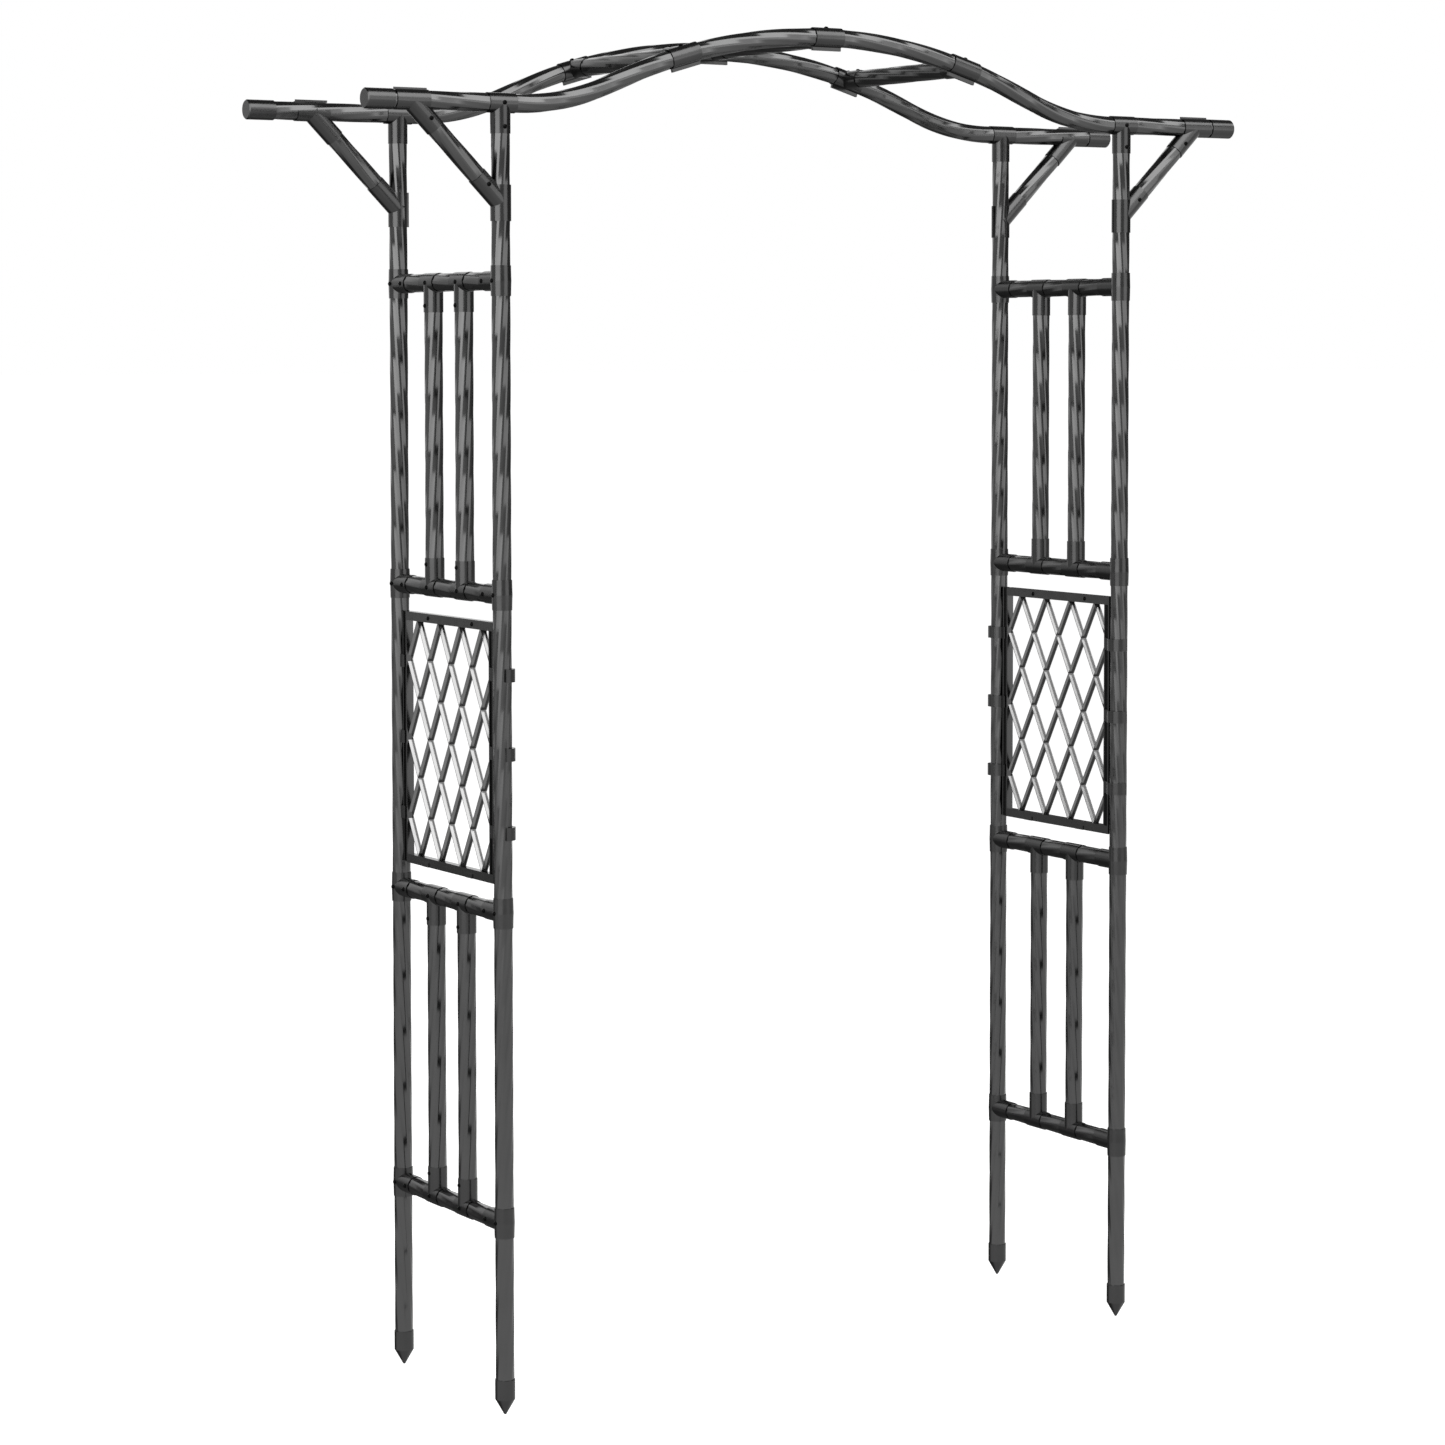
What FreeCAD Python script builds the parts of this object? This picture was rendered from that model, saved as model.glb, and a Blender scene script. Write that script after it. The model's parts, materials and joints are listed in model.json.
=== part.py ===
import FreeCAD, Part
import math
import os

# Metal trellis arch, millimetres. X runs across the passage, +Y is the back, +Z is up.
# The ground points stand at z = 0, and the origin lies under the middle of the overall box.

V = FreeCAD.Vector
X_AXIS, Y_AXIS, Z_AXIS = V(1, 0, 0), V(0, 1, 0), V(0, 0, 1)

SEAM_TURN = 37.0            # degrees that every round face's seam is turned by

# Overall layout
POST_SPAN = 1160.0          # left post axis to right post axis
POST_DEPTH = 350.0          # front post axis to back post axis
RAIL_HEIGHTS = (297.0, 773.0, 1258.0, 1733.0)
BALUSTER_SPACING = 104.0
TOP_AXIS_HEIGHT = 2000.0    # axis of the arch tubes where they cross the posts
BRACE_REACH = 150.0         # from where post and arch tube cross to each end of a brace

# Tubing
TUBE_R = 14.35
TUBE_WALL = 1.2
BORE_R = 14.45              # bore of every sleeve that a tube passes through
SLEEVE_R = 15.35            # outside of a sleeve at its ends
CREST_R = 15.9              # outside of a post sleeve at its middle
ARM = 46.0                  # socket mouth to the axis that it branches from
SLEEVE_HALF = 23.0
END_GAP = 1.0               # a branch tube stops this far from the tube that it meets

# Arch tubes
CROWN_R = 925.0
LOW_BEND_R = 391.0
SLOPE = math.radians(22.6)
SLOPE_RUN = 52.0
TAIL_END = 806.0            # end of a capped tail from the middle of the arch
LONG_TAIL_EXTRA = 34.0      # the back tube's left tail is this much longer
CAP_LENGTH = 45.0
CAP_R = 15.6
CAP_FLOOR = 3.0
CAP_CHAMFER = 1.6

# Ground points
CUP_TOP = 54.6
CUP_SHOULDER = 24.3
CUP_R = 15.5
CUP_FLOOR = 2.0
TIP_R = 1.5

# Brace brackets
SADDLE_HALF = 27.3
SADDLE_R = 15.7
SADDLE_GAP = math.radians(84)
SOCKET_ARM = 57.0
LIP_HEIGHT = 2.4
LIP_THICKNESS = 1.6
LIP_ROOT = 0.5              # the lip starts this far inside the bore, which trims it

# Cross ties
TIE_X = (-262.0, 0.0, 262.0)
CLAMP_HALF = 26.0
CLAMP_FLANGE_DROP = 5.0
CLAMP_FLANGE_WIDTH = 5.0
CURVE_CLEARANCE = 0.4       # extra bore for the bend of the tube inside a clamp

# Lattice panels, between the second and the third rail
PANEL_HALF_WIDTH = 155.0
PANEL_HEIGHT = 400.0
PANEL_MID = (RAIL_HEIGHTS[1] + RAIL_HEIGHTS[2]) / 2
BAR_WIDTH = 14.0
BAR_DEPTH = 12.0
GROOVE_WIDTH = 8.5
GROOVE_DEPTH = 3.5
STRIP_PITCH = 72.2
STRIP_ANGLE = 30.0          # from the vertical
STRIP_WEB = (-3.4, 5.0)     # from and to across the panel's thickness
STRIP_THICKNESS = 1.2
STRIP_FLANGE = 3.4
TAB_SIZE = (1.4, 22.0, 7.0)
PANEL_SCREW_Y = (65.0, -85.0)

# Panel clips
CLIP_R = 19.4
CLIP_HEIGHT = 20.0
CLIP_SPACING = 120.5
CLIP_OVERRUN = math.radians(10)
PRONG_THICKNESS = 1.6
PRONG_OVERLAP = 9.0

# Dome-head screws
HEAD_R = 3.5
HEAD_HEIGHT = 2.2
SHANK_R = 1.6
SHANK_LENGTH = 4.5
HOLE_R = 1.65
HOLE_MARGIN = 0.3           # a hole is this much deeper than its shank
SCREW_ON_ARM = 36.0         # from the axis that the socket branches from
SCREW_ON_BRACE_ARM = 38.5

SHIFT = V(LONG_TAIL_EXTRA / 2, 0, 0)
SIDES = {"left": -1, "right": 1}
ENDS = {"front": -1, "back": 1}
BAYS = {"lower": RAIL_HEIGHTS[:2], "upper": RAIL_HEIGHTS[2:]}
parts = {}
screws = {"left_side_screws": [], "right_side_screws": [], "top_screws": []}


def rod(start, direction, length, radius):
    """Cylinder whose seam is turned off the main axes, clear of the screw holes."""
    cylinder = Part.makeCylinder(radius, length, start, direction)
    cylinder.rotate(start, direction, SEAM_TURN)
    return cylinder


def cone(start, direction, length, near_r, far_r):
    shape = Part.makeCone(near_r, far_r, length, start, direction)
    shape.rotate(start, direction, SEAM_TURN)
    return shape


def tube(start, end, outer=TUBE_R, wall=TUBE_WALL):
    run = end - start
    return rod(start, run, run.Length, outer).cut(rod(start, run, run.Length, outer - wall))


def block(x, y, z):
    """A box given as three (low, high) pairs."""
    return Part.makeBox(x[1] - x[0], y[1] - y[0], z[1] - z[0], V(x[0], y[0], z[0]))


def through(middle, direction, half, radius):
    return rod(middle - direction * half, direction, 2 * half, radius)


def add_screw(group, point, outward):
    screws[group].append((point, outward))


def post_xy(side, end):
    return V(SIDES[side] * POST_SPAN / 2, ENDS[end] * POST_DEPTH / 2, 0)


# Arch tubes

def arch_points():
    """Bend ends of the right half, from the crown out to the end of the low bend."""
    crown_end = V(CROWN_R * math.sin(SLOPE), 0, -CROWN_R * (1 - math.cos(SLOPE)))
    low_start = crown_end + V(math.cos(SLOPE), 0, -math.sin(SLOPE)) * SLOPE_RUN
    low_end = low_start + V(LOW_BEND_R * math.sin(SLOPE), 0, -LOW_BEND_R * (1 - math.cos(SLOPE)))
    lift = V(0, 0, TOP_AXIS_HEIGHT - low_end.z)
    return crown_end + lift, low_start + lift, low_end + lift


CROWN_END, LOW_START, LOW_END = arch_points()
CROWN_HEIGHT = CROWN_END.z + CROWN_R * (1 - math.cos(SLOPE))


def mirrored(point):
    return V(-point.x, point.y, point.z)


def arch_wire(left_end, right_end, y):
    half = SLOPE / 2
    low_mid = LOW_END + V(-LOW_BEND_R * math.sin(half), 0, LOW_BEND_R * (1 - math.cos(half)))
    crown_top = V(0, 0, CROWN_HEIGHT)
    edges = [
        Part.LineSegment(V(left_end, 0, TOP_AXIS_HEIGHT), mirrored(LOW_END)).toShape(),
        Part.Arc(mirrored(LOW_END), mirrored(low_mid), mirrored(LOW_START)).toShape(),
        Part.LineSegment(mirrored(LOW_START), mirrored(CROWN_END)).toShape(),
        Part.Arc(mirrored(CROWN_END), crown_top, CROWN_END).toShape(),
        Part.LineSegment(CROWN_END, LOW_START).toShape(),
        Part.Arc(LOW_START, low_mid, LOW_END).toShape(),
        Part.LineSegment(LOW_END, V(right_end, 0, TOP_AXIS_HEIGHT)).toShape(),
    ]
    wire = Part.Wire(edges)
    wire.translate(V(0, y, 0))
    return wire


def sweep(wire, start, radius):
    ring = Part.Wire([Part.makeCircle(radius, start, X_AXIS)])
    return wire.makePipeShell([ring], True, False)


def arch_tube(end):
    y = ENDS[end] * POST_DEPTH / 2
    left_end = -TAIL_END - (LONG_TAIL_EXTRA if end == "back" else 0) + CAP_FLOOR
    wire = arch_wire(left_end, TAIL_END - CAP_FLOOR, y)
    start = V(left_end, y, TOP_AXIS_HEIGHT)
    return sweep(wire, start, TUBE_R).cut(sweep(wire, start, TUBE_R - TUBE_WALL))


def arch_height(x):
    """Height of the arch axis, and its tangent, on the crown arc."""
    angle = math.asin(x / CROWN_R)
    return CROWN_HEIGHT - CROWN_R * (1 - math.cos(angle)), V(math.cos(angle), 0, -math.sin(angle))


def end_cap(side, end):
    outward = X_AXIS * SIDES[side]
    tip_x = TAIL_END + (LONG_TAIL_EXTRA if (side, end) == ("left", "back") else 0)
    mouth = V(SIDES[side] * (tip_x - CAP_LENGTH), ENDS[end] * POST_DEPTH / 2, TOP_AXIS_HEIGHT)
    body = rod(mouth, outward, CAP_LENGTH - CAP_CHAMFER, CAP_R)
    rim_start = mouth + outward * (CAP_LENGTH - CAP_CHAMFER)
    rim = cone(rim_start, outward, CAP_CHAMFER, CAP_R, CAP_R - CAP_CHAMFER)
    return body.fuse(rim).removeSplitter().cut(rod(mouth, outward, CAP_LENGTH - CAP_FLOOR, BORE_R))


# Posts, ground points, rails and balusters

def post(side, end):
    foot = post_xy(side, end)
    return tube(foot + V(0, 0, CUP_SHOULDER + CUP_FLOOR), foot + V(0, 0, TOP_AXIS_HEIGHT - TUBE_R - END_GAP))


def ground_spike(side, end):
    foot = post_xy(side, end)
    point = cone(foot, Z_AXIS, CUP_SHOULDER, TIP_R, CUP_R)
    cup = rod(foot + V(0, 0, CUP_SHOULDER), Z_AXIS, CUP_TOP - CUP_SHOULDER, CUP_R)
    bore = rod(foot + V(0, 0, CUP_SHOULDER + CUP_FLOOR), Z_AXIS, CUP_TOP, BORE_R)
    return point.fuse(cup).removeSplitter().cut(bore)


def rail(side, height):
    x = SIDES[side] * POST_SPAN / 2
    half = POST_DEPTH / 2 - TUBE_R - END_GAP
    return tube(V(x, -half, height), V(x, half, height))


def baluster(side, end, low_rail, high_rail):
    x, y = SIDES[side] * POST_SPAN / 2, ENDS[end] * BALUSTER_SPACING / 2
    gap = TUBE_R + END_GAP
    return tube(V(x, y, low_rail + gap), V(x, y, high_rail - gap))


# Tees

def ridged_sleeve(middle):
    """Upright post sleeve that swells to a ridge at its middle."""
    low = cone(middle - Z_AXIS * SLEEVE_HALF, Z_AXIS, SLEEVE_HALF, SLEEVE_R, CREST_R)
    high = cone(middle, Z_AXIS, SLEEVE_HALF, CREST_R, SLEEVE_R)
    return low.fuse(high)


def bored(body, middle, run, half, branch, arm):
    """Cut the through bore and the branch bore out of a tee."""
    return body.cut(through(middle, run, half + 1, BORE_R)).cut(rod(middle, branch, arm + 1, BORE_R))


def corner_tee(side, end, height):
    middle = post_xy(side, end) + V(0, 0, height)
    inward = Y_AXIS * -ENDS[end]
    face = X_AXIS * SIDES[side]
    body = ridged_sleeve(middle).fuse(rod(middle, inward, ARM, SLEEVE_R))
    group = side + "_side_screws"
    add_screw(group, middle + face * CREST_R, face)
    add_screw(group, middle + inward * SCREW_ON_ARM + face * SLEEVE_R, face)
    return bored(body, middle, Z_AXIS, SLEEVE_HALF, inward, ARM)


def rail_tee(side, end, height, branch):
    middle = V(SIDES[side] * POST_SPAN / 2, ENDS[end] * BALUSTER_SPACING / 2, height)
    face = X_AXIS * SIDES[side]
    body = through(middle, Y_AXIS, SLEEVE_HALF, SLEEVE_R).fuse(rod(middle, branch, ARM, SLEEVE_R))
    group = side + "_side_screws"
    add_screw(group, middle + face * SLEEVE_R, face)
    add_screw(group, middle + branch * SCREW_ON_ARM + face * SLEEVE_R, face)
    return bored(body, middle, Y_AXIS, SLEEVE_HALF, branch, ARM)


def top_tee(side, end):
    middle = post_xy(side, end) + V(0, 0, TOP_AXIS_HEIGHT)
    face = Y_AXIS * ENDS[end]
    body = through(middle, X_AXIS, SLEEVE_HALF, SLEEVE_R).fuse(rod(middle, -Z_AXIS, ARM, SLEEVE_R))
    add_screw("top_screws", middle + face * SLEEVE_R, face)
    add_screw("top_screws", middle - Z_AXIS * SCREW_ON_ARM + face * SLEEVE_R, face)
    return bored(body, middle, X_AXIS, SLEEVE_HALF, -Z_AXIS, ARM)


# Braces and their brackets

def brace_ends(side, end):
    foot = post_xy(side, end)
    on_post = foot + V(0, 0, TOP_AXIS_HEIGHT - BRACE_REACH)
    on_arch = foot + V(SIDES[side] * BRACE_REACH, 0, TOP_AXIS_HEIGHT)
    return on_post, on_arch


def brace(side, end):
    on_post, on_arch = brace_ends(side, end)
    slant = (on_arch - on_post).normalize()
    clear = (TUBE_R + END_GAP) / math.sin(math.pi / 4) + TUBE_R
    return tube(on_post + slant * clear, on_arch - slant * clear)


def prism(corners):
    """Straight prism as long as a saddle, along X and centred on the origin. Corners are (y, z)."""
    outline = [V(-SADDLE_HALF, y, z) for y, z in corners + corners[:1]]
    return Part.Face(Part.makePolygon(outline)).extrude(X_AXIS * (2 * SADDLE_HALF))


def saddle():
    """C-shaped sleeve along X, open from -Y up towards +Z, with a lip standing on the upper edge."""
    origin = V(0, 0, 0)
    edge_y, edge_z = -math.cos(SADDLE_GAP), math.sin(SADDLE_GAP)
    reach = SADDLE_R * 2
    gap = prism([(0, 0), (-reach, 0), (-reach, reach), (edge_y * reach, edge_z * reach)])
    low, high = BORE_R - LIP_ROOT, SADDLE_R + LIP_HEIGHT
    across_y, across_z = edge_z * LIP_THICKNESS, -edge_y * LIP_THICKNESS
    lip = prism([(edge_y * low, edge_z * low), (edge_y * low + across_y, edge_z * low + across_z),
                 (edge_y * high + across_y, edge_z * high + across_z), (edge_y * high, edge_z * high)])
    shell = through(origin, X_AXIS, SADDLE_HALF, SADDLE_R).cut(gap)
    return shell.fuse(lip)


def brace_bracket():
    """Bracket for a level tube along X. Its socket slants down to -X, and its opening faces -Y."""
    origin, slant = V(0, 0, 0), V(-1, 0, -1).normalize()
    body = saddle().fuse(rod(origin, slant, SOCKET_ARM, SLEEVE_R))
    body = body.cut(through(origin, X_AXIS, SADDLE_HALF * 2, BORE_R))
    body = body.cut(rod(origin, slant, SOCKET_ARM + 1, BORE_R))
    return max(body.removeSplitter().Solids, key=lambda solid: solid.Volume)


def placed_bracket(bracket, middle, slant, side, end):
    """The same bracket turned for a post or for an arch tube, and mirrored for its side and end."""
    origin, face = V(0, 0, 0), Y_AXIS * ENDS[end]
    placed = bracket.mirror(origin, V(1, 0, 1)) if slant.z > 0 else bracket.copy()
    if side == "left":
        placed = placed.mirror(origin, X_AXIS)
    if end == "front":
        placed = placed.mirror(origin, Y_AXIS)
    placed.translate(middle)
    add_screw("top_screws", middle + slant * SCREW_ON_BRACE_ARM + face * SLEEVE_R, face)
    return placed


def brace_brackets(side):
    bracket = brace_bracket()
    placed = []
    for end in ENDS:
        on_post, on_arch = brace_ends(side, end)
        slant = (on_arch - on_post).normalize()
        placed.append(placed_bracket(bracket, on_arch, -slant, side, end))
        placed.append(placed_bracket(bracket, on_post, slant, side, end))
    return Part.makeCompound(placed)


# Cross ties and their clamps

def cross_tie(x):
    height = arch_height(x)[0]
    half = POST_DEPTH / 2 - TUBE_R - END_GAP
    return tube(V(x, -half, height), V(x, half, height))


def tie_clamp(x, end):
    height, run = arch_height(x)
    middle = V(x, ENDS[end] * POST_DEPTH / 2, height)
    inward = Y_AXIS * -ENDS[end]
    up = run.cross(Y_AXIS)
    body = through(middle, run, CLAMP_HALF, SADDLE_R).fuse(rod(middle, inward, ARM, SLEEVE_R))
    flange = block((-CLAMP_HALF, CLAMP_HALF), (-CLAMP_FLANGE_WIDTH / 2, CLAMP_FLANGE_WIDTH / 2),
                   (-SADDLE_R - CLAMP_FLANGE_DROP, 1 - SADDLE_R))
    tilt = math.degrees(math.atan2(-run.z, run.x))
    flange.rotate(V(0, 0, 0), Y_AXIS, tilt)
    flange.translate(middle)
    add_screw("top_screws", middle + up * SADDLE_R, up)
    add_screw("top_screws", middle + inward * SCREW_ON_ARM + Z_AXIS * SLEEVE_R, Z_AXIS)
    curved_bore = through(middle, run, CLAMP_HALF + 1, BORE_R + CURVE_CLEARANCE)
    return body.fuse(flange).cut(curved_bore).cut(rod(middle, inward, ARM + 1, BORE_R))


# Lattice panels and their clips

def panel_frame(side):
    """Welded frame: a full-height back stile, two cross bars that butt on it, and a front stile."""
    x, half_depth = SIDES[side] * POST_SPAN / 2, BAR_DEPTH / 2
    low, high = PANEL_MID - PANEL_HEIGHT / 2, PANEL_MID + PANEL_HEIGHT / 2
    inner = PANEL_HALF_WIDTH - BAR_WIDTH
    across = (x - half_depth, x + half_depth)
    back_stile = block(across, (inner, PANEL_HALF_WIDTH), (low, high))
    front_stile = block(across, (-PANEL_HALF_WIDTH, -inner), (low + BAR_WIDTH, high - BAR_WIDTH))
    margin = (BAR_WIDTH - GROOVE_WIDTH) / 2
    for face in (-1, 1):
        groove_x = sorted((x + face * (half_depth - GROOVE_DEPTH), x + face * (half_depth + 1)))
        back_y = (inner + margin, PANEL_HALF_WIDTH - margin)
        front_y = (margin - PANEL_HALF_WIDTH, -inner - margin)
        back_stile = back_stile.cut(block(groove_x, back_y, (low, high)))
        front_stile = front_stile.cut(block(groove_x, front_y, (low, high)))
    frame = back_stile.fuse(front_stile)
    for bar_low in (low, high - BAR_WIDTH):
        frame = frame.fuse(block(across, (-PANEL_HALF_WIDTH, inner), (bar_low, bar_low + BAR_WIDTH)))
    for y in PANEL_SCREW_Y:
        add_screw(side + "_side_screws", V(x - half_depth, y, high - BAR_WIDTH / 2), -X_AXIS)
        frame = frame.fuse(block((x - half_depth - TAB_SIZE[0], x - half_depth),
                                 (y, y + TAB_SIZE[1]), (low, low + TAB_SIZE[2])))
    return frame.removeSplitter()


def lattice_strip(y, angle):
    """One angle-section strip through the middle height of the panel, turned about X."""
    length = PANEL_HEIGHT * 1.5
    half = STRIP_THICKNESS / 2
    web = block(STRIP_WEB, (-half, half), (-length / 2, length / 2))
    flange = block((STRIP_WEB[1] - STRIP_THICKNESS, STRIP_WEB[1]), (-half - STRIP_FLANGE, half),
                   (-length / 2, length / 2))
    strip = web.fuse(flange).removeSplitter()
    strip.rotate(V(0, 0, 0), X_AXIS, angle)
    strip.translate(V(0, y, 0))
    return strip


def lattice(side):
    inner_y = PANEL_HALF_WIDTH - BAR_WIDTH
    inner_z = PANEL_HEIGHT / 2 - BAR_WIDTH
    reach = inner_y + inner_z * math.tan(math.radians(STRIP_ANGLE))
    count = int(reach / STRIP_PITCH)
    window = block(STRIP_WEB, (-inner_y, inner_y), (-inner_z, inner_z))
    strips = []
    for step in range(-count, count + 1):
        for angle in (STRIP_ANGLE, -STRIP_ANGLE):
            strips.append(lattice_strip(step * STRIP_PITCH, angle).common(window))
    grid = strips[0].multiFuse(strips[1:]).removeSplitter()
    grid.translate(V(SIDES[side] * POST_SPAN / 2, 0, PANEL_MID))
    return grid


def panel_clip(side, end, height):
    """C-shaped clip round the passage side of a post, with two prongs that grip the panel's stile."""
    middle = post_xy(side, end) + V(0, 0, height - CLIP_HEIGHT / 2)
    away = X_AXIS * SIDES[side]
    toward = Y_AXIS * -ENDS[end]
    ring = rod(middle, Z_AXIS, CLIP_HEIGHT, CLIP_R)
    reach = CLIP_R * 2
    stop = away * math.sin(CLIP_OVERRUN) - toward * math.cos(CLIP_OVERRUN)
    corners = [stop, away - toward, away + toward, toward]
    outline = [middle] + [middle + corner * reach for corner in corners] + [middle]
    opening = Part.Face(Part.makePolygon(outline)).extrude(Z_AXIS * CLIP_HEIGHT)
    stile_gap = POST_DEPTH / 2 - PANEL_HALF_WIDTH
    half, outer = BAR_DEPTH / 2, BAR_DEPTH / 2 + PRONG_THICKNESS
    grip = clip_block(middle, toward, outer, (BORE_R, stile_gap + PRONG_OVERLAP))
    slot = clip_block(middle, toward, half, (stile_gap - END_GAP / 2, stile_gap + PRONG_OVERLAP))
    clip = ring.cut(opening).fuse(grip.cut(slot))
    return clip.cut(rod(middle, Z_AXIS, CLIP_HEIGHT, BORE_R)).removeSplitter()


def clip_block(middle, toward, half_x, run):
    """Block as high as a clip, from run[0] to run[1] out from the post axis towards the panel."""
    y = sorted(middle.y + toward.y * distance for distance in run)
    return block((middle.x - half_x, middle.x + half_x), y, (middle.z, middle.z + CLIP_HEIGHT))


# Screws

def screw(point, outward):
    """Domed head on the surface at point, with its shank going in."""
    ball_r = (HEAD_R ** 2 + HEAD_HEIGHT ** 2) / (2 * HEAD_HEIGHT)
    ball = Part.makeSphere(ball_r, point + outward * (HEAD_HEIGHT - ball_r))
    dome = ball.common(rod(point, outward, HEAD_HEIGHT * 2, HEAD_R * 2))
    shank = rod(point - outward * SHANK_LENGTH, outward, SHANK_LENGTH + HEAD_HEIGHT / 2, SHANK_R)
    return dome.fuse(shank).removeSplitter()


def drill(solid, points):
    """Cut the shank holes that pass through this solid."""
    box = solid.BoundBox
    box.enlarge(SHANK_LENGTH)
    holes = [rod(point - outward * (SHANK_LENGTH + HOLE_MARGIN), outward, SHANK_LENGTH * 2, HOLE_R)
             for point, outward in points if box.isInside(point)]
    return solid.cut(holes) if holes else solid


def build_all():
    for end in ENDS:
        parts[end + "_arch_tube"] = arch_tube(end)
        parts[end + "_tie_clamps"] = Part.makeCompound([tie_clamp(x, end) for x in TIE_X])
    for name, x in zip(("left", "middle", "right"), TIE_X):
        parts[name + "_cross_tie"] = cross_tie(x)
    for side in SIDES:
        build_side(side)
        for bay, heights in BAYS.items():
            build_bay(side, bay, *heights)


def build_side(side):
    for end in ENDS:
        corner = end + "_" + side
        parts["post_" + corner] = post(side, end)
        parts["ground_spike_" + corner] = ground_spike(side, end)
        parts["top_tee_" + corner] = top_tee(side, end)
        parts["brace_" + corner] = brace(side, end)
    for number, height in enumerate(RAIL_HEIGHTS, 1):
        parts["%s_rail_%d" % (side, number)] = rail(side, height)
    parts[side + "_end_caps"] = Part.makeCompound([end_cap(side, end) for end in ENDS])
    parts[side + "_brace_brackets"] = brace_brackets(side)
    parts[side + "_panel_frame"] = panel_frame(side)
    parts[side + "_lattice"] = lattice(side)
    heights = [PANEL_MID + step * CLIP_SPACING for step in (-1, 0, 1)]
    parts[side + "_panel_clips"] = Part.makeCompound(
        [panel_clip(side, end, height) for end in ENDS for height in heights])


def build_bay(side, bay, low_rail, high_rail):
    """Balusters between two rails, with the tees that hold them and the tees at the rails' ends."""
    corner_tees, rail_tees = [], []
    for end in ENDS:
        parts["%s_%s_baluster_%s" % (side, bay, end)] = baluster(side, end, low_rail, high_rail)
        for height, branch in ((low_rail, Z_AXIS), (high_rail, -Z_AXIS)):
            corner_tees.append(corner_tee(side, end, height))
            rail_tees.append(rail_tee(side, end, height, branch))
    parts["%s_%s_corner_tees" % (side, bay)] = Part.makeCompound(corner_tees)
    parts["%s_%s_rail_tees" % (side, bay)] = Part.makeCompound(rail_tees)


def write_all():
    os.makedirs("parts", exist_ok=True)
    every_screw = [item for group in screws.values() for item in group]
    for name in list(parts):
        parts[name] = Part.makeCompound([drill(solid, every_screw) for solid in parts[name].Solids])
    for name, points in screws.items():
        parts[name] = Part.makeCompound([screw(point, outward) for point, outward in points])
    for name, shape in parts.items():
        shape.translate(SHIFT)
        shape.exportStep("parts/" + name + ".step")
    print(len(parts), "nodes,", sum(len(shape.Solids) for shape in parts.values()), "solids")


build_all()
write_all()
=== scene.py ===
import json
import math

import bmesh
import bpy
import numpy as np
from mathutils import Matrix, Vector


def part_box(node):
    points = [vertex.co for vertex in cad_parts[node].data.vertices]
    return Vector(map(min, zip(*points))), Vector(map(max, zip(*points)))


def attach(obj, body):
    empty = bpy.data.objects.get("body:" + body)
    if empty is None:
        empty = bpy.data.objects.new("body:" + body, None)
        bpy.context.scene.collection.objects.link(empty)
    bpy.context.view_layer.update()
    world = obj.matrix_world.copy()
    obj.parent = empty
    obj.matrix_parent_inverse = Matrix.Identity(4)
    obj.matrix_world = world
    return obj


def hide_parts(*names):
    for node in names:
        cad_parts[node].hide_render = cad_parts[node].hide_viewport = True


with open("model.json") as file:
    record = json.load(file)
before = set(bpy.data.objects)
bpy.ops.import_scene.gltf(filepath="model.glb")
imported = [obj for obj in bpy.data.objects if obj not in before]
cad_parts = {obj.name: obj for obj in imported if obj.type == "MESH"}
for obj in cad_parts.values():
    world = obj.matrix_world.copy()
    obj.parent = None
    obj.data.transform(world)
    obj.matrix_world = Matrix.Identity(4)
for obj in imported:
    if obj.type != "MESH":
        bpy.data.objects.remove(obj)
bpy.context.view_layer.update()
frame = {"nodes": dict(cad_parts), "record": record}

# Metal trellis arch, metres. X runs across the passage, +Y is the back, +Z is up.

ROOT = "root"
SIDES = ("left", "right")
ENDS = ("front", "back")

# Twisted tube: eight flats with rounded corners
TUBE_R = 0.01435            # over the corners
TUBE_WALL = 0.0012
CORNER_R = 0.0078
CORNER_STEPS = 4
FLATS = 8
FLAT_PITCH = 0.0894         # length over which a tube turns by one flat
TWIST = 2 * math.pi / FLATS / FLAT_PITCH
RING_STEP = 0.010           # between the rings of a sweep

# Dome-head screw with a cross recess
HEAD_R = 0.0035
HEAD_HEIGHT = 0.0022
HEAD_EDGE = 0.0006          # height of the head's upright rim
SHANK_R = 0.0016
SHANK_LENGTH = 0.0045
RECESS_REACH = 0.0018
RECESS_HALF_WIDTH = 0.0005
RECESS_DEPTH = 0.0010
RECESS_TAPER = 0.7          # size of the recess's floor, as a share of its mouth
DOME_RINGS = (0.65, 0.85)   # places of the dome's rings, as shares of HEAD_R
HEAD_SIDES = 24             # as many as the recess's outline has points
SHARP_ANGLE = math.radians(35)

# Curve of the arch tubes: crown, straight slope, upward bend, straight tail
CROWN_R = 0.925
LOW_BEND_R = 0.391
SLOPE = math.radians(22.6)
SLOPE_RUN = 0.052


def linked(name, data):
    """Object called name that holds data, in the scene's collection."""
    item = bpy.data.objects.new(name, data)
    bpy.context.collection.objects.link(item)
    return item


# Sections and sweeps

def octagon():
    """Points and outward normals of the tube's section, in turn round it."""
    half = math.pi / FLATS
    centre = TUBE_R - CORNER_R      # of a corner's arc, from the tube's axis
    places, normals = [], []
    for corner in range(FLATS):
        middle = 2 * half * corner
        for step in range(CORNER_STEPS + 1):
            angle = middle - half + 2 * half * step / CORNER_STEPS
            places.append((centre * math.cos(middle) + CORNER_R * math.cos(angle),
                           centre * math.sin(middle) + CORNER_R * math.sin(angle)))
            normals.append((math.cos(angle), math.sin(angle)))
    return np.array(places), np.array(normals)


PLACES, NORMALS = octagon()


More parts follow.
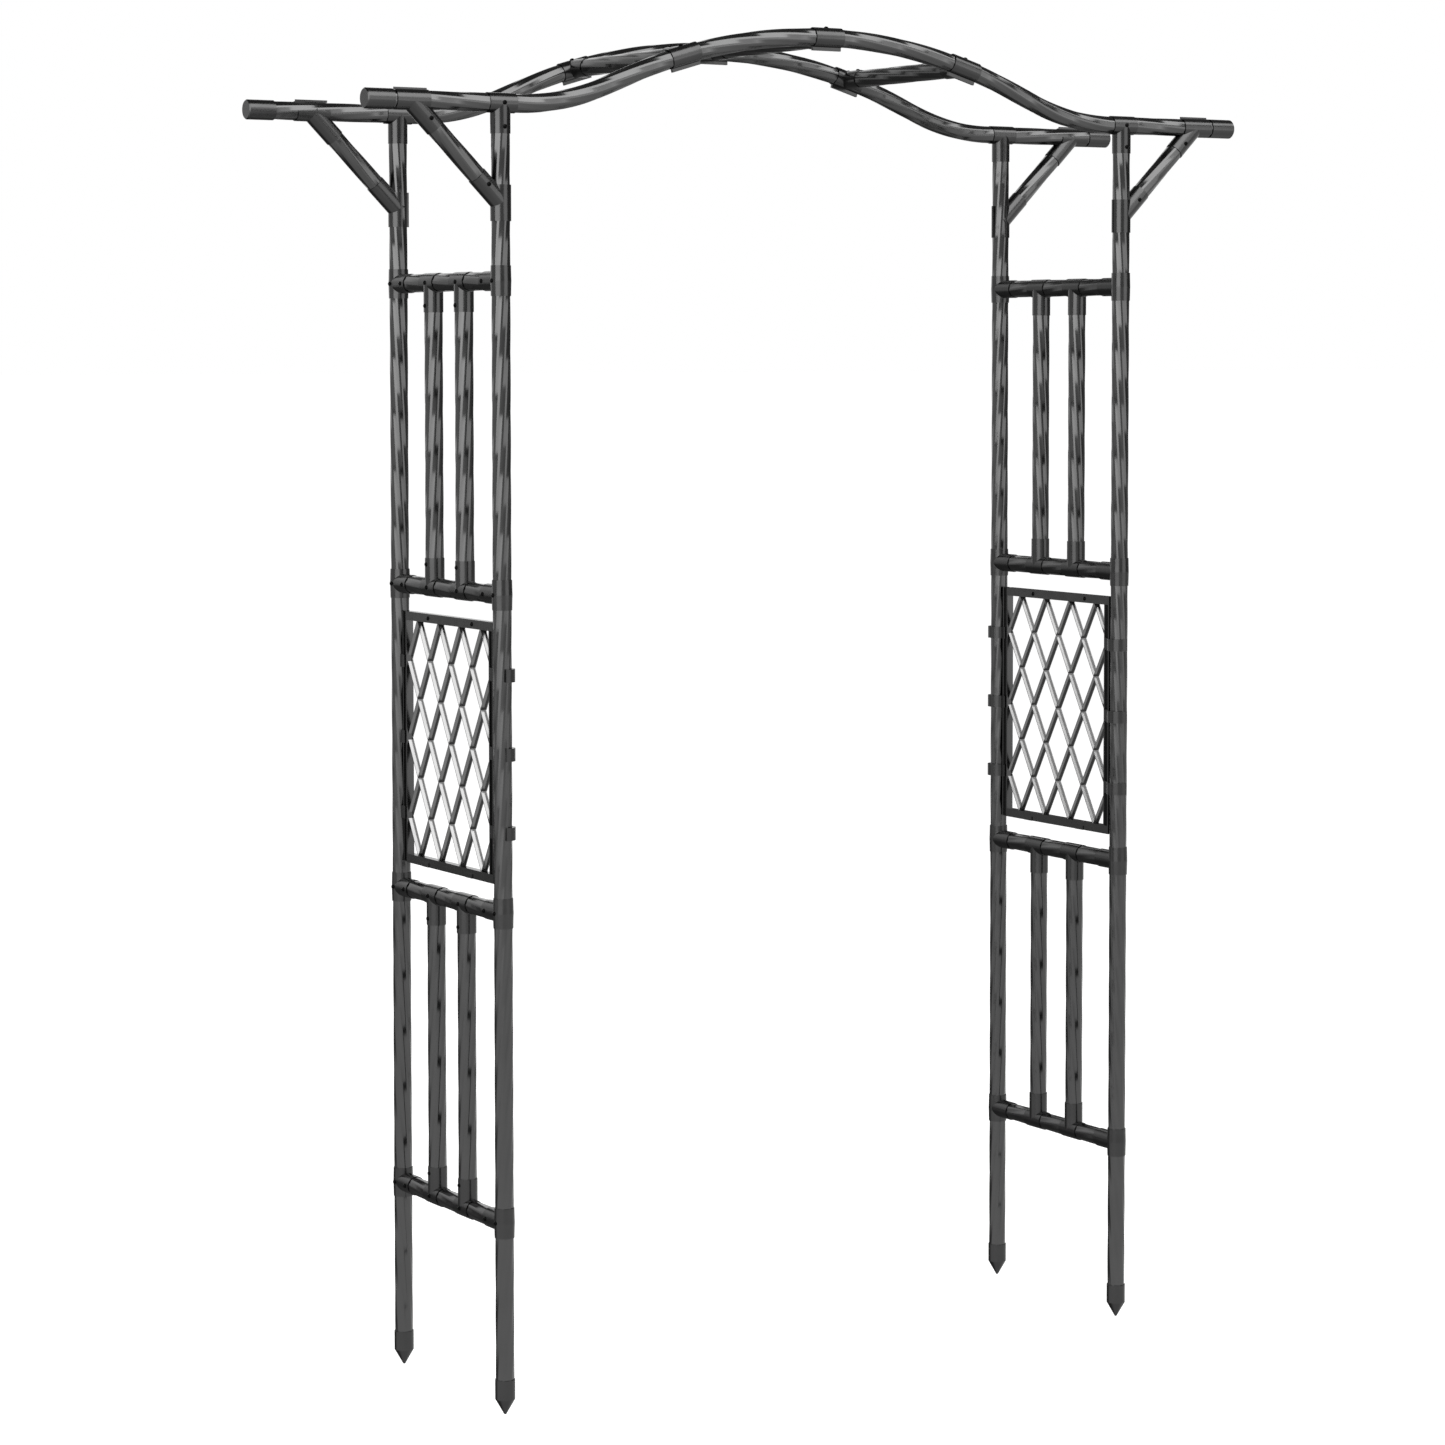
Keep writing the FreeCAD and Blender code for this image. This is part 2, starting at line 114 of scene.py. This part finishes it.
def rotated(pairs, angle):
    """Rows of (x, y) turned by angle."""
    cosine, sine = math.cos(angle), math.sin(angle)
    return pairs @ np.array([[cosine, sine], [-sine, cosine]])


def quad(corners, flip):
    return corners[::-1] if flip else corners


def tube_faces(rows, ring):
    """Faces of both walls and both end rims. The vertices are the outer rings, then the inner ones."""
    layer = rows * ring
    faces = []
    for first, flip in ((0, False), (layer, True)):
        for row in range(rows - 1):
            here, beyond = first + row * ring, first + (row + 1) * ring
            for place in range(ring):
                after = (place + 1) % ring
                faces.append(quad([here + place, here + after, beyond + after, beyond + place], flip))
    for first, flip in ((0, True), (layer - ring, False)):
        for place in range(ring):
            here, after = first + place, first + (place + 1) % ring
            faces.append(quad([here, after, after + layer, here + layer], flip))
    return faces


def twisted_tube(name, points, tangents, across, turn):
    """Tube with flats along points, turning by turn radians a metre. across is square to its path.

    The twist tips the flats' normals a little along the path, which is what lean holds.
    """
    points, tangents = np.array(points), np.array(tangents)
    across = np.array(across, float)
    steps = np.linalg.norm(np.diff(points, axis=0), axis=1)
    along = np.concatenate([[0], np.cumsum(steps)])
    rings, normals = [], []
    for point, tangent, distance in zip(points, tangents, along):
        section_axes = np.array([across, np.cross(tangent, across)])
        place = rotated(PLACES, turn * distance)
        normal = rotated(NORMALS, turn * distance)
        lean = turn * (place[:, 1] * normal[:, 0] - place[:, 0] * normal[:, 1])
        rings.append(point + place @ section_axes)
        normals.append(normal @ section_axes + lean[:, None] * tangent)
    outer = np.array(rings)
    inner = points[:, None, :] + (outer - points[:, None, :]) * (1 - TUBE_WALL / TUBE_R)
    rows, ring = outer.shape[:2]
    vertices = np.concatenate([outer.reshape(-1, 3), inner.reshape(-1, 3)])
    mesh = bpy.data.meshes.new(name)
    mesh.from_pydata(vertices.tolist(), [], tube_faces(rows, ring))
    smooth = [True] * (2 * (rows - 1) * ring)
    flat = [False] * (2 * ring)
    mesh.polygons.foreach_set("use_smooth", smooth + flat)
    outward = np.array(normals).reshape(-1, 3)
    outward /= np.linalg.norm(outward, axis=1)[:, None]
    mesh.normals_split_custom_set_from_vertices(np.concatenate([outward, -outward]).tolist())
    return linked(name, mesh)


def straight_tube(name, start, end, across, turn):
    start, end = np.array(start, float), np.array(end, float)
    length = np.linalg.norm(end - start)
    rings = max(2, round(length / RING_STEP) + 1)
    points = [start + (end - start) * share for share in np.linspace(0, 1, rings)]
    return twisted_tube(name, points, [(end - start) / length] * rings, across, turn)


# Materials

NOISE_RANGE = (0.3, 0.7)    # most of a noise texture's values
CLOUD, GLOSS, PEEL = (18, 4), (60, 3), (900, 2)     # scale and detail of each noise
PEEL_DISTANCE = 0.0002
MIX_A, MIX_B, MIX_RESULT = 6, 7, 2      # colour sockets of a mix node
WHITE = (1, 1, 1, 1)


def new_material(name, colour, metallic, roughness):
    material = bpy.data.materials.new(name)
    material.use_nodes = True
    shader = material.node_tree.nodes["Principled BSDF"]
    shader.inputs["Base Color"].default_value = (*colour, 1)
    shader.inputs["Metallic"].default_value = metallic
    shader.inputs["Roughness"].default_value = roughness
    return material, material.node_tree, shader


def add_node(tree, kind, **values):
    """Node of a tree, with its sockets and settings given by name."""
    node = tree.nodes.new(kind)
    for key, value in values.items():
        if key in node.inputs:
            node.inputs[key].default_value = value
        else:
            setattr(node, key, value)
    return node


def noise(tree, texture, coordinates):
    scale, detail = texture
    node = add_node(tree, "ShaderNodeTexNoise", Scale=scale, Detail=detail)
    tree.links.new(coordinates, node.inputs["Vector"])
    return node.outputs["Fac"]


def map_range(tree, value, source, target, kind="LINEAR"):
    """Map value from the range source onto the range target."""
    node = add_node(tree, "ShaderNodeMapRange", interpolation_type=kind)
    for name, limits in (("From", source), ("To", target)):
        node.inputs[name + " Min"].default_value = limits[0]
        node.inputs[name + " Max"].default_value = limits[1]
    tree.links.new(value, node.inputs["Value"])
    return node.outputs["Result"]


def painted(name, colour, roughness, peel, variation):
    """Metallic dark paint: slight cloudiness, uneven gloss and the fine ripple of a sprayed coat."""
    material, tree, shader = new_material(name, colour, 1.0, sum(roughness) / 2)
    place = tree.nodes.new("ShaderNodeTexCoord").outputs["Object"]
    shades = (1 - variation, 1 + variation)
    cloud = map_range(tree, noise(tree, CLOUD, place), NOISE_RANGE, shades)
    tint = add_node(tree, "ShaderNodeMix", data_type="RGBA", blend_type="MULTIPLY")
    tint.inputs["Factor"].default_value = 1
    tint.inputs[MIX_A].default_value = (*colour, 1)
    tree.links.new(cloud, tint.inputs[MIX_B])
    tree.links.new(tint.outputs[MIX_RESULT], shader.inputs["Base Color"])
    gloss = map_range(tree, noise(tree, GLOSS, place), NOISE_RANGE, roughness)
    tree.links.new(gloss, shader.inputs["Roughness"])
    bump = add_node(tree, "ShaderNodeBump", Strength=peel, Distance=PEEL_DISTANCE)
    tree.links.new(noise(tree, PEEL, place), bump.inputs["Height"])
    tree.links.new(bump.outputs["Normal"], shader.inputs["Normal"])
    return material


# Base colour, range of roughness, depth of the ripple and range of the cloudiness
MATERIALS = {
    "tube": painted("tube_paint", (0.095, 0.095, 0.095), (0.17, 0.20), 0.02, 0.04),
    "fitting": painted("fitting_paint", (0.066, 0.066, 0.066), (0.20, 0.26), 0.03, 0.05),
    "panel": painted("panel_paint", (0.095, 0.095, 0.095), (0.18, 0.24), 0.02, 0.05),
    # The lattice's base colour is lighter than the same dark paint on the panel frame. This is a painted
    # highlight that brightens the strips' reflections of the overhead light.
    "lattice": painted("lattice_paint_with_painted_highlight", (0.22, 0.22, 0.22), (0.18, 0.24), 0.02, 0.05),
    "screw": painted("screw_black", (0.006, 0.006, 0.006), (0.35, 0.45), 0.0, 0.1),
}


def finish_nodes():
    """Give every CAD node the material of its slot."""
    slots = {part["node"]: part["material_slot"] for part in frame["record"]["subparts"]}
    for name, node in frame["nodes"].items():
        for place in node.material_slots:
            place.material = MATERIALS[slots[name]]


def add_piece(piece, node, slot):
    piece.data.materials.append(MATERIALS[slot])
    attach(piece, ROOT)
    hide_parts(node)


# Tubes, each in the place of its plain CAD tube

X_AXIS, Y_AXIS = (1, 0, 0), (0, 1, 0)
ALONG_Y, ALONG_Z = 1, 2
RAILS_A_SIDE = 4


def add_tube(node, start, finish, across, hand):
    """Twisted tube in the place of node. hand is 1 or -1: the way that the flats turn."""
    piece = straight_tube(node + "_twisted", start, finish, across, TWIST * hand)
    add_piece(piece, node, "tube")


def aligned_tube(node, axis, hand):
    """Tube in the place of one that runs along an axis, between the ends of that one's box."""
    low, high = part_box(node)
    start = (Vector(low) + Vector(high)) / 2
    finish = start.copy()
    start[axis], finish[axis] = low[axis], high[axis]
    add_tube(node, start, finish, X_AXIS, hand)


def brace_tube(node, outward):
    """Tube in the place of one that climbs outwards at 45 degrees. outward is the sign of X out there."""
    low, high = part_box(node)
    inset = TUBE_R * math.sqrt(0.5)
    middle_y = (low[1] + high[1]) / 2
    left, right = low[0] + inset, high[0] - inset
    inner, outer = (left, right) if outward > 0 else (right, left)
    start = (inner, middle_y, low[2] + inset)
    finish = (outer, middle_y, high[2] - inset)
    add_tube(node, start, finish, Y_AXIS, 1)


def make_straight_tubes():
    for side, hand in zip(SIDES, (1, -1)):
        for end, swap in zip(ENDS, (1, -1)):
            aligned_tube("post_%s_%s" % (end, side), ALONG_Z, hand * swap)
            brace_tube("brace_%s_%s" % (end, side), -hand)
            for bay in ("lower", "upper"):
                aligned_tube("%s_%s_baluster_%s" % (side, bay, end), ALONG_Z, hand)
        for number in range(1, RAILS_A_SIDE + 1):
            aligned_tube("%s_rail_%d" % (side, number), ALONG_Y, hand)
    for place in ("left", "middle", "right"):
        aligned_tube(place + "_cross_tie", ALONG_Y, 1)


def half_curve(reach):
    """Distance from the crown, height and downward angle of points on half an arch tube's axis."""
    x, z, angle = 0.0, 0.0, 0.0
    points = [(x, z, angle)]
    stretches = ((CROWN_R, CROWN_R * SLOPE), (math.inf, SLOPE_RUN), (-LOW_BEND_R, LOW_BEND_R * SLOPE))
    for radius, length in stretches:
        steps = round(length / RING_STEP)
        turn = length / steps / radius
        for _ in range(steps):
            angle += turn / 2
            x += math.cos(angle) * length / steps
            z -= math.sin(angle) * length / steps
            angle += turn / 2
            points.append((x, z, angle))
    tail = reach - x
    steps = round(tail / RING_STEP)
    return points + [(x + tail * (step + 1) / steps, z, angle) for step in range(steps)]


def arch_curve(low, high):
    """Points and tangents of an arch tube's axis in X and Z, from its left end to its right end."""
    top = high[2] - TUBE_R
    crown_low, crown_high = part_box("middle_cross_tie")
    crown = (crown_low[0] + crown_high[0]) / 2
    sides = {}
    for sign, limit in ((-1, low[0]), (1, high[0])):
        sides[sign] = [
            ((crown + sign * x, top + z), (math.cos(angle), -sign * math.sin(angle)))
            for x, z, angle in half_curve(abs(limit - crown))
        ]
    line = sides[-1][:0:-1] + sides[1]
    return [place for place, _ in line], [tangent for _, tangent in line]


def make_arch_tubes():
    for end, hand in zip(ENDS, (1, -1)):
        node = end + "_arch_tube"
        low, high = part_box(node)
        y = (low[1] + high[1]) / 2
        places, tangents = arch_curve(low, high)
        points = [(x, y, z) for x, z in places]
        directions = [(x, 0, z) for x, z in tangents]
        piece = twisted_tube(node + "_twisted", points, directions, Y_AXIS, TWIST * hand)
        add_piece(piece, node, "tube")


# Screws, each in the place of a plain CAD screw

WELD_DISTANCE = 1e-7
NORMAL_DIGITS = 2           # to which normals count as equal


def cad_screws(node):
    """Place of the head's underside and outward direction of each screw in a node."""
    mesh = bmesh.new()
    mesh.from_mesh(frame["nodes"][node].data)
    bmesh.ops.remove_doubles(mesh, verts=mesh.verts, dist=WELD_DISTANCE)
    seen = set()
    found = []
    for start in mesh.faces:
        if start in seen:
            continue
        seen.add(start)
        screw = [start]
        for face in screw:
            near = [other for edge in face.edges for other in edge.link_faces]
            for other in near:
                if other not in seen:
                    seen.add(other)
                    screw.append(other)
        found.append(place_of_screw(screw))
    mesh.free()
    return found


def place_of_screw(faces):
    """The underside of the head and the end of the shank are the largest area that faces one way."""
    areas = {}
    for face in faces:
        key = tuple(round(value, NORMAL_DIGITS) for value in face.normal)
        areas[key] = areas.get(key, 0) + face.calc_area()
    outward = -Vector(max(areas, key=areas.get)).normalized()
    corners = {vertex for face in faces for vertex in face.verts}
    middle = sum((face.calc_center_median() * face.calc_area() for face in faces), Vector())
    middle /= sum(face.calc_area() for face in faces)
    top = max(vertex.co.dot(outward) for vertex in corners)
    return middle + outward * (top - HEAD_HEIGHT - middle.dot(outward)), outward


def recess_outline():
    """Cross of 24 points, six for each arm, in turn round the head. The second point is on +X."""
    half, reach = RECESS_HALF_WIDTH, RECESS_REACH
    between = (reach + half) / 2
    end = [(reach, -half), (reach, 0), (reach, half)]
    flank = [(between, half), (half, half), (half, between)]
    points = []
    for cosine, sine in ((1, 0), (0, 1), (-1, 0), (0, -1)):
        points += [(cosine * x - sine * y, sine * x + cosine * y) for x, y in end + flank]
    return points


def screw_mesh():
    """Vertices and faces of one screw: outward is +Z and the head's underside is at z = 0."""
    dome_height = HEAD_HEIGHT - HEAD_EDGE
    ball_r = (HEAD_R ** 2 + dome_height ** 2) / (2 * dome_height)
    outline = recess_outline()
    # The second point of each ring is on +X, as in the outline
    turns = [2 * math.pi * (place - 1) / HEAD_SIDES for place in range(HEAD_SIDES)]

    def dome(distance):
        return HEAD_HEIGHT - ball_r + math.sqrt(ball_r ** 2 - distance ** 2)

    recess_floor = HEAD_HEIGHT - RECESS_DEPTH
    rings = [
        [(x * RECESS_TAPER, y * RECESS_TAPER, recess_floor) for x, y in outline],
        [(x, y, dome(math.hypot(x, y))) for x, y in outline],
    ]
    circles = [(share * HEAD_R, dome(share * HEAD_R)) for share in DOME_RINGS]
    circles += [(HEAD_R, HEAD_EDGE), (HEAD_R, 0.0), (SHANK_R, 0.0), (SHANK_R, -SHANK_LENGTH)]
    for radius, z in circles:
        rings.append([(radius * math.cos(turn), radius * math.sin(turn), z) for turn in turns])
    vertices = [point for ring in rings for point in ring]
    faces = [list(range(HEAD_SIDES))]
    for row in range(len(rings) - 1):
        here, beyond = row * HEAD_SIDES, (row + 1) * HEAD_SIDES
        for place in range(HEAD_SIDES):
            after = (place + 1) % HEAD_SIDES
            faces.append([here + place, beyond + place, beyond + after, here + after])
    faces.append(list(range(len(vertices) - HEAD_SIDES, len(vertices)))[::-1])
    return np.array(vertices), faces


def make_screws():
    shape, shape_faces = screw_mesh()
    for node in ("left_side_screws", "right_side_screws", "top_screws"):
        vertices, faces = [], []
        for place, outward in cad_screws(node):
            turned = np.array(outward.to_track_quat("Z", "Y").to_matrix())
            first = len(vertices) * len(shape)
            faces += [[index + first for index in face] for face in shape_faces]
            vertices.append(shape @ turned.T + np.array(place))
        mesh = bpy.data.meshes.new(node + "_domed")
        mesh.from_pydata(np.concatenate(vertices).tolist(), [], faces)
        mesh.polygons.foreach_set("use_smooth", [True] * len(faces))
        mesh.set_sharp_from_angle(angle=SHARP_ANGLE)
        add_piece(linked(node + "_domed", mesh), node, "screw")


# Stage

LENS, SENSOR_WIDTH = 97.13, 36.0
SHIFT_X, SHIFT_Y = -0.0363, -0.11
CAMERA_PLACE = (-3.2955, -5.4143, 1.6345)
CAMERA_DIP, CAMERA_TURN = math.radians(3.192), math.radians(-31.555)

FLOOR_HALF = 200.0
FLOOR_COLOUR, FLOOR_ROUGHNESS = (0.3, 0.3, 0.3), 0.9

# The surround that the metal reflects. A direction's parts are those of its unit vector.
DARK = 0.12                 # round and above the soft boxes
PALE = 0.95                 # below the horizon, down to LOW_DIP
DIM = 0.75                  # straight down, from STEEP_DIP
HORIZON = (-0.17, 0.0)      # upward parts between which PALE gives way to DARK
LOW_DIP, STEEP_DIP = -0.45, -0.85
BACK_SHADE = 0.12           # share of the light that is left low at the back
BACK_TILT = 0.6             # how much the downward part counts beside the backward part
BACK_RANGE = (0.55, 1.05)   # sums of the two between which the light falls to BACK_SHADE

# Soft boxes stacked round the arch: turns from +X in degrees, then bands of bottom, top and radiance
WALL_DISTANCE = 7.0
WALLS = {
    "key": (180, 233, ((0, 0.5, 0.8), (0.5, 1.0, 1.4), (1.0, 1.6, 2.2), (1.6, 8.0, 3.2))),
    "front_fill": (233, 276, ((0, 1.0, 0.2), (1.0, 5.0, 0.3))),
    "right_fill": (276, 318, ((0, 0.5, 0.3), (0.5, 1.0, 0.7), (1.0, 4.8, 1.6))),
    "back_left": (117, 172, ((0, 1.0, 0.2), (1.0, 6.0, 0.5))),
    "back": (60, 117, ((0, 1.0, 0.5), (1.0, 6.0, 1.0))),
}
OVERHEAD_PLACE, OVERHEAD_SIZE = (0.6, -4.1, 5.2), (8.0, 5.8)
OVERHEAD_RADIANCE = 3.6


def make_camera():
    data = bpy.data.cameras.new("camera")
    data.sensor_width = SENSOR_WIDTH
    data.lens = LENS
    data.shift_x, data.shift_y = SHIFT_X, SHIFT_Y
    camera = linked("camera", data)
    camera.location = CAMERA_PLACE
    camera.rotation_euler = (math.pi / 2 - CAMERA_DIP, 0, CAMERA_TURN)
    bpy.context.scene.camera = camera


def make_floor():
    """Plain white floor that reflections don't show: the metal reflects the surround in its place."""
    half = FLOOR_HALF
    mesh = bpy.data.meshes.new("floor")
    corners = [(-half, -half, 0), (half, -half, 0), (half, half, 0), (-half, half, 0)]
    mesh.from_pydata(corners, [], [(0, 1, 2, 3)])
    floor = linked("floor", mesh)
    material, _, shader = new_material("floor_pale", FLOOR_COLOUR, 0.0, FLOOR_ROUGHNESS)
    shader.inputs["Emission Color"].default_value = WHITE
    shader.inputs["Emission Strength"].default_value = 1.0
    mesh.materials.append(material)
    floor.visible_glossy = False


def area_light(name, place, facing, size, radiance):
    """Soft box at place, shining along facing, as bright to look at as radiance."""
    data = bpy.data.lights.new(name, "AREA")
    data.shape = "RECTANGLE"
    data.size, data.size_y = size
    data.energy = radiance * math.pi * size[0] * size[1]
    light = linked(name, data)
    light.visible_camera = False
    light.location = place
    light.rotation_euler = (-Vector(facing)).to_track_quat("Z", "Y").to_euler()


def wall_light(name, low_turn, high_turn, bands):
    """Stack of soft boxes that face the arch, from one turn to the other."""
    middle = math.radians((low_turn + high_turn) / 2)
    half_width = WALL_DISTANCE * math.tan(math.radians((high_turn - low_turn) / 2))
    out = Vector((math.cos(middle), math.sin(middle), 0))
    for number, (bottom, top, radiance) in enumerate(bands, 1):
        place = out * WALL_DISTANCE + Vector((0, 0, (bottom + top) / 2))
        area_light("%s_%d" % (name, number), place, -out, (2 * half_width, top - bottom), radiance)


def make_lights():
    for name, (low_turn, high_turn, bands) in WALLS.items():
        wall_light(name, low_turn, high_turn, bands)
    area_light("overhead", OVERHEAD_PLACE, (0, 0, -1), OVERHEAD_SIZE, OVERHEAD_RADIANCE)


def product(tree, first, second):
    node = add_node(tree, "ShaderNodeMath", operation="MULTIPLY")
    tree.links.new(first, node.inputs[0])
    tree.links.new(second, node.inputs[1])
    return node.outputs[0]


def surround_strength(tree):
    """Dark above the horizon and pale below it, dimmer straight down and dark low at the back."""
    split = tree.nodes.new("ShaderNodeSeparateXYZ")
    directions = tree.nodes.new("ShaderNodeTexCoord").outputs["Generated"]
    tree.links.new(directions, split.inputs[0])
    upward, backward = split.outputs["Z"], split.outputs["Y"]
    above = map_range(tree, upward, HORIZON, (1, DARK / PALE), "SMOOTHSTEP")
    below = map_range(tree, upward, (STEEP_DIP, LOW_DIP), (DIM, PALE), "SMOOTHSTEP")
    low_back = add_node(tree, "ShaderNodeMath", operation="MULTIPLY_ADD")
    tree.links.new(upward, low_back.inputs[0])
    low_back.inputs[1].default_value = -BACK_TILT
    tree.links.new(backward, low_back.inputs[2])
    behind = map_range(tree, low_back.outputs[0], BACK_RANGE, (1, BACK_SHADE), "SMOOTHSTEP")
    return product(tree, product(tree, above, below), behind)


def make_world():
    """White to the camera, and the surround to everything else."""
    world = bpy.data.worlds.new("studio")
    bpy.context.scene.world = world
    world.use_nodes = True
    tree = world.node_tree
    backdrop = tree.nodes["Background"]
    backdrop.inputs["Color"].default_value = WHITE
    surround = add_node(tree, "ShaderNodeBackground", Color=WHITE)
    tree.links.new(surround_strength(tree), surround.inputs["Strength"])
    choose = tree.nodes.new("ShaderNodeMixShader")
    to_camera = tree.nodes.new("ShaderNodeLightPath").outputs["Is Camera Ray"]
    tree.links.new(to_camera, choose.inputs[0])
    tree.links.new(surround.outputs[0], choose.inputs[1])
    tree.links.new(backdrop.outputs[0], choose.inputs[2])
    tree.links.new(choose.outputs[0], tree.nodes["World Output"].inputs["Surface"])


finish_nodes()
make_straight_tubes()
make_arch_tubes()
make_screws()
make_camera()
make_floor()
make_world()
make_lights()
bpy.context.scene.view_settings.view_transform = "Standard"
